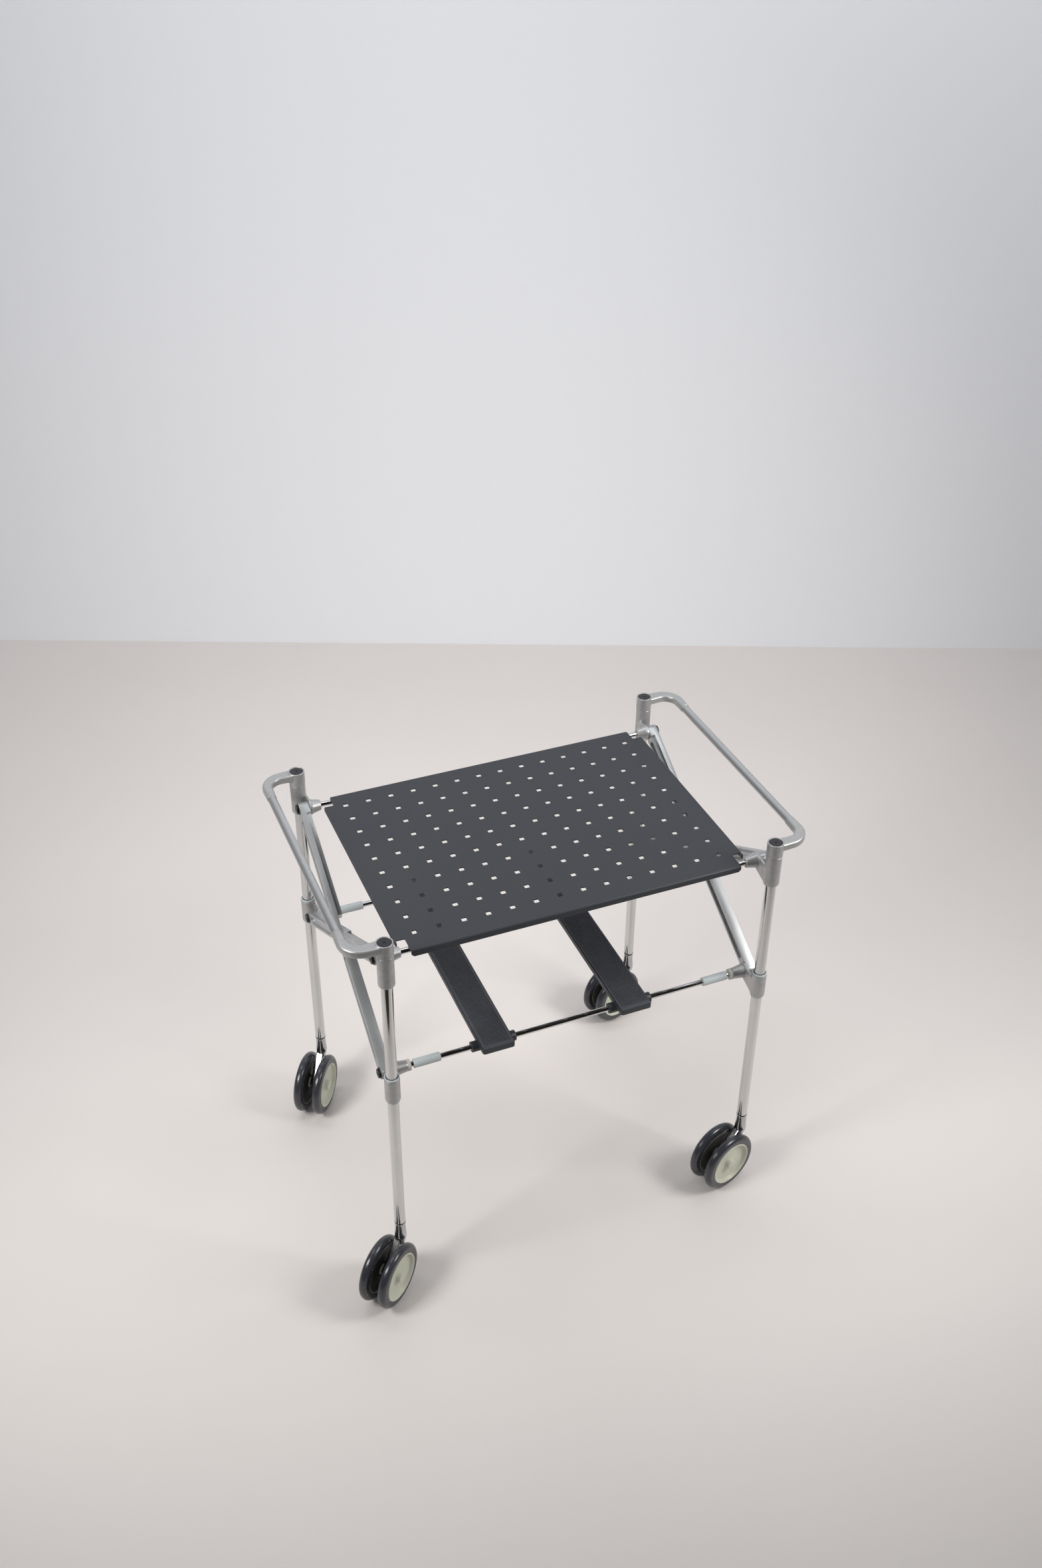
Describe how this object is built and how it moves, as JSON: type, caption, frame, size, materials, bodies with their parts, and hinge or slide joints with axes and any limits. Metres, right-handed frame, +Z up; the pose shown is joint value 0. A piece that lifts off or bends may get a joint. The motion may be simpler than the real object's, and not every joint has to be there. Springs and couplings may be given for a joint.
{
  "type": "folding serving trolley",
  "caption": "Folding serving trolley with a perforated tray over lift-up slats, X scissors at both ends, swing-out side handles and twin-wheel casters.",
  "frame": {"origin": "middle of the whole object's footprint at floor level", "axes": "+X along the tray's long front edge towards the right-hand handle, +Y from the front legs to the rear legs, +Z up"},
  "size_m": [0.6936, 0.5016, 0.645],
  "materials": {
    "chrome_tube": "polished",
    "silver_casting": "satin metallic paint",
    "bar_aluminium": "satin",
    "grip_aluminium": "satin",
    "tray_paint": "fine matte",
    "slat_black": "matte",
    "pad_rubber": "ribbed matte",
    "cream_plastic": "satin",
    "grey_plastic": "satin",
    "dark_fastener": "black oxide",
    "cap_black": "satin",
    "caster_chrome": "polished",
    "hub_plastic": "satin",
    "tyre_grey": "smooth glossy"
  },
  "bodies": {
    "front_frame": {"leg_fl": "chrome_tube", "leg_fr": "chrome_tube", "collar_upper_fl": "silver_casting", "collar_upper_fr": "silver_casting", "rod_upper_front": "chrome_tube"},
    "rear_frame": {"leg_bl": "chrome_tube", "leg_br": "chrome_tube", "collar_upper_bl": "silver_casting", "collar_upper_br": "silver_casting", "rod_upper_rear": "chrome_tube"},
    "scissor_b": {"scissor_b_left": "bar_aluminium", "scissor_b_right": "bar_aluminium", "bolts_b": "dark_fastener", "scissor_pins": "dark_fastener"},
    "scissor_a": {"scissor_a_left": "bar_aluminium", "scissor_a_right": "bar_aluminium", "bolts_a": "dark_fastener"},
    "front_slider": {"collar_lower_fl": "silver_casting", "collar_lower_fr": "silver_casting", "bushes_front": "cream_plastic", "rod_lower_front": "chrome_tube", "sleeves_front": "grey_plastic"},
    "rear_slider": {"collar_lower_bl": "silver_casting", "collar_lower_br": "silver_casting", "bushes_rear": "cream_plastic", "rod_lower_rear": "chrome_tube", "sleeves_rear": "grey_plastic"},
    "tray": {"tray": "tray_paint"},
    "slat_left": {"slat_left": "slat_black", "pad_left": "pad_rubber"},
    "slat_right": {"slat_right": "slat_black", "pad_right": "pad_rubber"},
    "handle_left": {"handle_left_front_elbow": "silver_casting", "handle_left_rear_elbow": "silver_casting", "handle_left_grip": "grip_aluminium", "handle_left_caps": "cap_black"},
    "handle_right": {"handle_right_front_elbow": "silver_casting", "handle_right_rear_elbow": "silver_casting", "handle_right_grip": "grip_aluminium", "handle_right_caps": "cap_black"},
    "caster_fl": {"caster_fl_body": "caster_chrome"},
    "wheel_fl_1": {"caster_fl_hub_1": "hub_plastic", "caster_fl_tyre_1": "tyre_grey"},
    "wheel_fl_2": {"caster_fl_hub_2": "hub_plastic", "caster_fl_tyre_2": "tyre_grey"},
    "caster_fr": {"caster_fr_body": "caster_chrome"},
    "wheel_fr_1": {"caster_fr_hub_1": "hub_plastic", "caster_fr_tyre_1": "tyre_grey"},
    "wheel_fr_2": {"caster_fr_hub_2": "hub_plastic", "caster_fr_tyre_2": "tyre_grey"},
    "caster_bl": {"caster_bl_body": "caster_chrome"},
    "wheel_bl_1": {"caster_bl_hub_1": "hub_plastic", "caster_bl_tyre_1": "tyre_grey"},
    "wheel_bl_2": {"caster_bl_hub_2": "hub_plastic", "caster_bl_tyre_2": "tyre_grey"},
    "caster_br": {"caster_br_body": "caster_chrome"},
    "wheel_br_1": {"caster_br_hub_1": "hub_plastic", "caster_br_tyre_1": "tyre_grey"},
    "wheel_br_2": {"caster_br_hub_2": "hub_plastic", "caster_br_tyre_2": "tyre_grey"}
  },
  "joints": [
    {"name": "fold", "type": "hinge", "parent": "front_frame", "child": "scissor_b", "pos_m": [0.01107, -0.15212, 0.5975], "axis": [-1, 0, 0], "range_deg": [0, 40]},
    {"name": "scissor_cross", "type": "hinge", "parent": "scissor_b", "child": "scissor_a", "pos_m": [0.01107, 0.02388, 0.4955], "axis": [1, 0, 0], "range_deg": [0, 80]},
    {"name": "rear_frame_pivot", "type": "hinge", "parent": "scissor_a", "child": "rear_frame", "pos_m": [0.01107, 0.19988, 0.5975], "axis": [-1, 0, 0], "range_deg": [0, 40]},
    {"name": "front_slider_pivot", "type": "hinge", "parent": "scissor_a", "child": "front_slider", "pos_m": [0.01107, -0.15212, 0.3935], "axis": [-1, 0, 0], "range_deg": [0, 40]},
    {"name": "rear_slider_pivot", "type": "hinge", "parent": "scissor_b", "child": "rear_slider", "pos_m": [0.01107, 0.19988, 0.3935], "axis": [1, 0, 0], "range_deg": [0, 40]},
    {"name": "slat_left_lift", "type": "hinge", "parent": "front_slider", "child": "slat_left", "pos_m": [-0.11293, -0.15212, 0.3935], "axis": [1, 0, 0], "range_deg": [0, 86]},
    {"name": "slat_right_lift", "type": "hinge", "parent": "front_slider", "child": "slat_right", "pos_m": [0.09557, -0.15212, 0.3935], "axis": [1, 0, 0], "range_deg": [0, 86]},
    {"name": "tray_tilt", "type": "hinge", "parent": "front_frame", "child": "tray", "pos_m": [0.01107, -0.15212, 0.5975], "axis": [1, 0, 0], "range_deg": [0, 90]},
    {"name": "handle_left_swing", "type": "hinge", "parent": "front_frame", "child": "handle_left", "pos_m": [-0.26893, -0.18012, 0.638], "axis": [0, 0, 1], "range_deg": [0, 90]},
    {"name": "handle_right_swing", "type": "hinge", "parent": "front_frame", "child": "handle_right", "pos_m": [0.29107, -0.18012, 0.638], "axis": [0, 0, -1], "range_deg": [0, 90]},
    {"name": "swivel_fl", "type": "hinge", "parent": "front_frame", "child": "caster_fl", "pos_m": [-0.26893, -0.18012, 0.112], "axis": [0, 0, 1], "continuous": true},
    {"name": "spin_fl_1", "type": "hinge", "parent": "caster_fl", "child": "wheel_fl_1", "pos_m": [-0.28776, -0.21658, 0.049], "axis": [0.6494, -0.7604, 0], "continuous": true},
    {"name": "spin_fl_2", "type": "hinge", "parent": "caster_fl", "child": "wheel_fl_2", "pos_m": [-0.30789, -0.19301, 0.049], "axis": [0.6494, -0.7604, 0], "continuous": true},
    {"name": "swivel_fr", "type": "hinge", "parent": "front_frame", "child": "caster_fr", "pos_m": [0.29107, -0.18012, 0.112], "axis": [0, 0, 1], "continuous": true},
    {"name": "spin_fr_1", "type": "hinge", "parent": "caster_fr", "child": "wheel_fr_1", "pos_m": [0.25926, -0.20605, 0.049], "axis": [0.2924, -0.9563, 0], "continuous": true},
    {"name": "spin_fr_2", "type": "hinge", "parent": "caster_fr", "child": "wheel_fr_2", "pos_m": [0.2502, -0.17641, 0.049], "axis": [0.2924, -0.9563, 0], "continuous": true},
    {"name": "swivel_bl", "type": "hinge", "parent": "rear_frame", "child": "caster_bl", "pos_m": [-0.26893, 0.22788, 0.112], "axis": [0, 0, 1], "continuous": true},
    {"name": "spin_bl_1", "type": "hinge", "parent": "caster_bl", "child": "wheel_bl_1", "pos_m": [-0.27838, 0.18795, 0.049], "axis": [0.8141, -0.5807, 0], "continuous": true},
    {"name": "spin_bl_2", "type": "hinge", "parent": "caster_bl", "child": "wheel_bl_2", "pos_m": [-0.30362, 0.20595, 0.049], "axis": [0.8141, -0.5807, 0], "continuous": true},
    {"name": "swivel_br", "type": "hinge", "parent": "rear_frame", "child": "caster_br", "pos_m": [0.29107, 0.22788, 0.112], "axis": [0, 0, 1], "continuous": true},
    {"name": "spin_br_1", "type": "hinge", "parent": "caster_br", "child": "wheel_br_1", "pos_m": [0.25972, 0.2014, 0.049], "axis": [0.309, -0.9511, 0], "continuous": true},
    {"name": "spin_br_2", "type": "hinge", "parent": "caster_br", "child": "wheel_br_2", "pos_m": [0.25014, 0.23088, 0.049], "axis": [0.309, -0.9511, 0], "continuous": true}
  ],
  "couplings": [
    {"joint": "scissor_cross", "follows": "fold", "ratio": 2},
    {"joint": "rear_frame_pivot", "follows": "fold", "ratio": 1},
    {"joint": "front_slider_pivot", "follows": "fold", "ratio": 1},
    {"joint": "rear_slider_pivot", "follows": "fold", "ratio": 1},
    {"joint": "slat_left_lift", "follows": "fold", "ratio": 2.15},
    {"joint": "slat_right_lift", "follows": "fold", "ratio": 2.15},
    {"joint": "tray_tilt", "follows": "fold", "ratio": 2.25}
  ]
}
